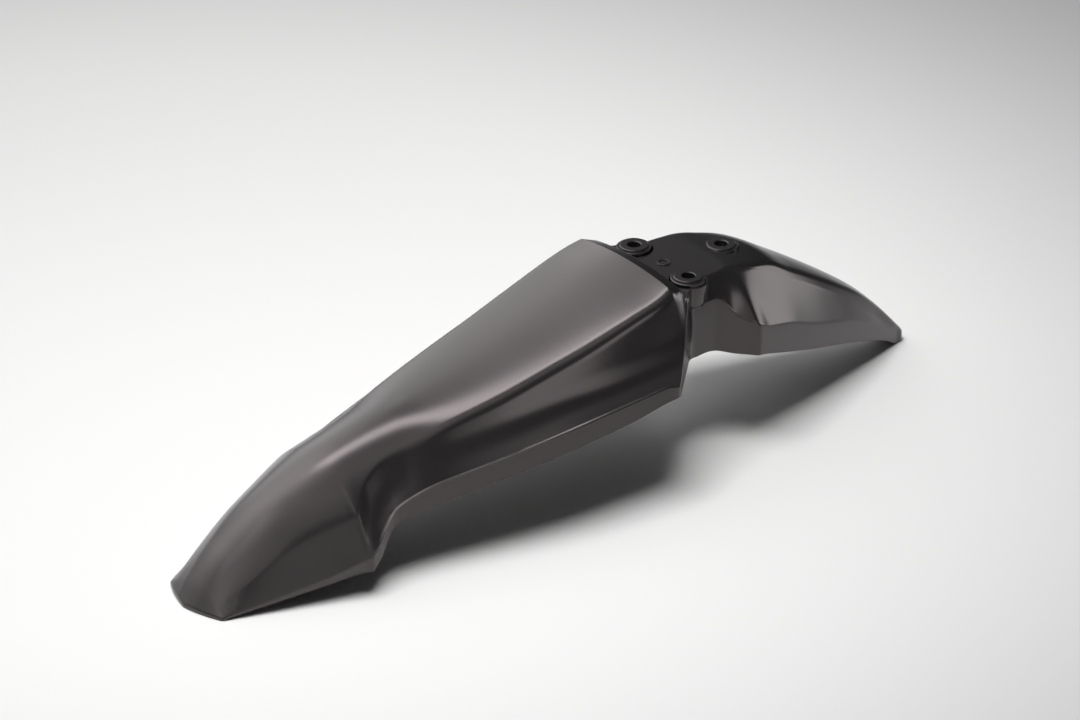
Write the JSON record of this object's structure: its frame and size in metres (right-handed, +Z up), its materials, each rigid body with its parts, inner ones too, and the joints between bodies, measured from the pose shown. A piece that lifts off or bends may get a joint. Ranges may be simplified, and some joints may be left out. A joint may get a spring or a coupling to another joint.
{
  "type": "motorcycle front mudguard",
  "caption": "One-piece moulded front mudguard for an off-road motorcycle, with a crowned blade, side channels, a drooping beak, screw bosses and a tapered tail.",
  "frame": {"origin": "midway between the two front screw holes, on the seats of their bosses", "axes": "+X forward to the nose, +Y to the rider's left, +Z up along the screws"},
  "size_m": [0.734, 0.1936, 0.168],
  "materials": {
    "plastic": "satin moulded black"
  },
  "bodies": {
    "root": {"mudguard": "plastic"}
  },
  "joints": []
}
